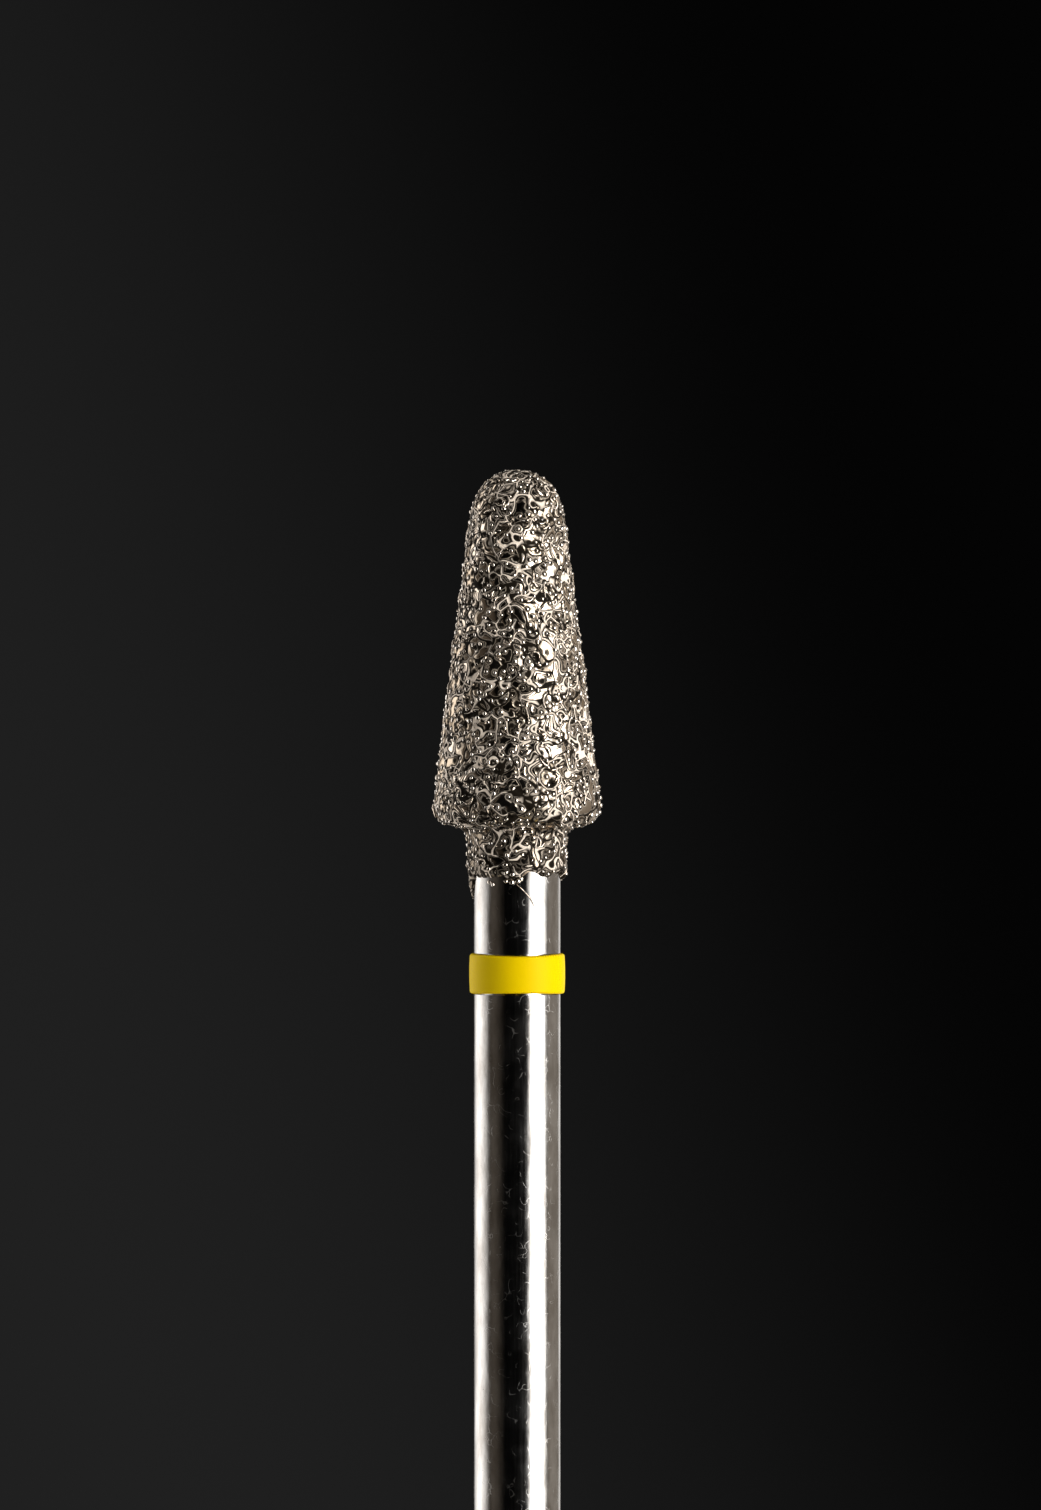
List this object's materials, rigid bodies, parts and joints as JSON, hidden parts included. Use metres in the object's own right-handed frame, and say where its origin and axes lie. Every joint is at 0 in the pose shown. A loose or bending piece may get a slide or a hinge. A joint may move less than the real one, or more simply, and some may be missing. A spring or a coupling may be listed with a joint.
{
  "type": "diamond bur",
  "caption": "Rotary dental instrument with a diamond-coated tapered round-ended head, a yellow colour ring and a straight handpiece shank.",
  "frame": {"origin": "centre of the flat end face of the shank, the lowest point of the upright instrument", "axes": "+Z along the instrument's axis, from the shank's end to the tip of the head; +X to the right in the reference view, which looks along +Y"},
  "size_m": [0.0046, 0.0046, 0.0445],
  "materials": {
    "polished_steel": "polished stainless steel with fine hair scratches",
    "plated_nickel": "warm grey electroplated nickel, rough with covered grit",
    "diamond": "pale diamond crystals with glinting facets",
    "yellow_band": "glossy saturated yellow"
  },
  "bodies": {
    "root": {"steel_blank": "polished_steel", "nickel_bond": "plated_nickel", "diamond_grit": "diamond", "colour_ring": "yellow_band"}
  },
  "joints": []
}
